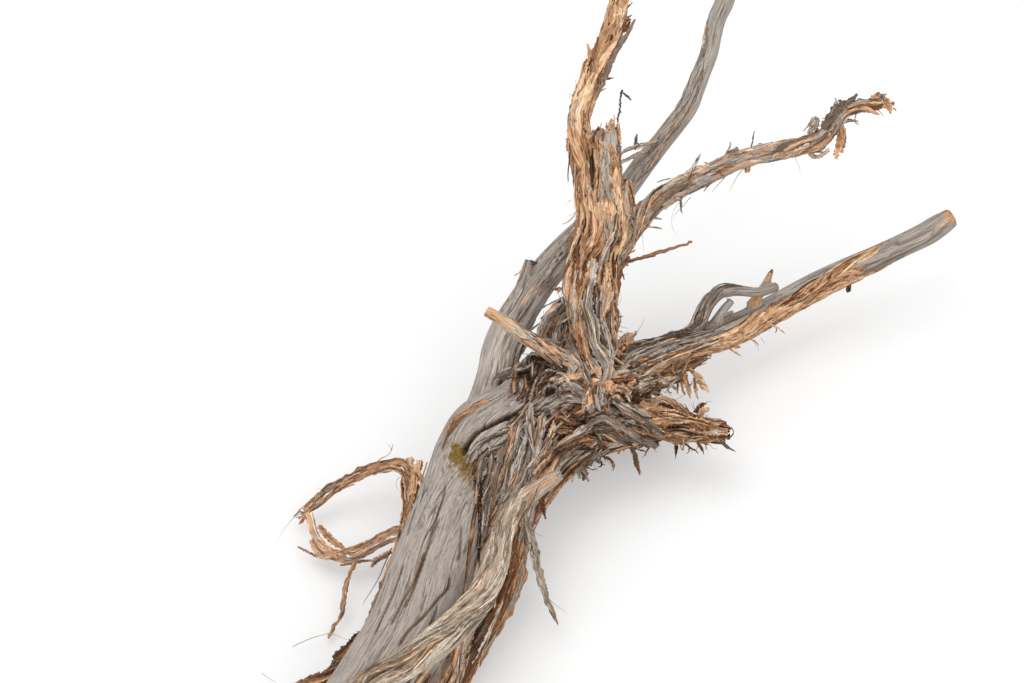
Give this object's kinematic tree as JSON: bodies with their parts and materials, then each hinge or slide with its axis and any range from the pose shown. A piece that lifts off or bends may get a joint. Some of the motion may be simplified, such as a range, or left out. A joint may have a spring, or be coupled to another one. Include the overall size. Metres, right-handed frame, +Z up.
{
  "type": "piece of driftwood",
  "caption": "Weathered, branching piece of driftwood: a thick grey trunk lying on the ground that rises to a gnarled knot and fans out into curved arms with shredded bark.",
  "frame": {"origin": "on the ground under the middle of the whole piece's bounding box", "axes": "+Z up, the thick trunk runs towards -Y, the long upper arms reach towards +Y, and the side arms towards +X"},
  "size_m": [0.6017, 0.8869, 0.3433],
  "materials": {
    "weathered_wood": "dry, matt, silver-grey weathered wood with cream streaks and strips of orange-brown bark"
  },
  "bodies": {
    "root": {"driftwood": "weathered_wood"}
  },
  "joints": []
}
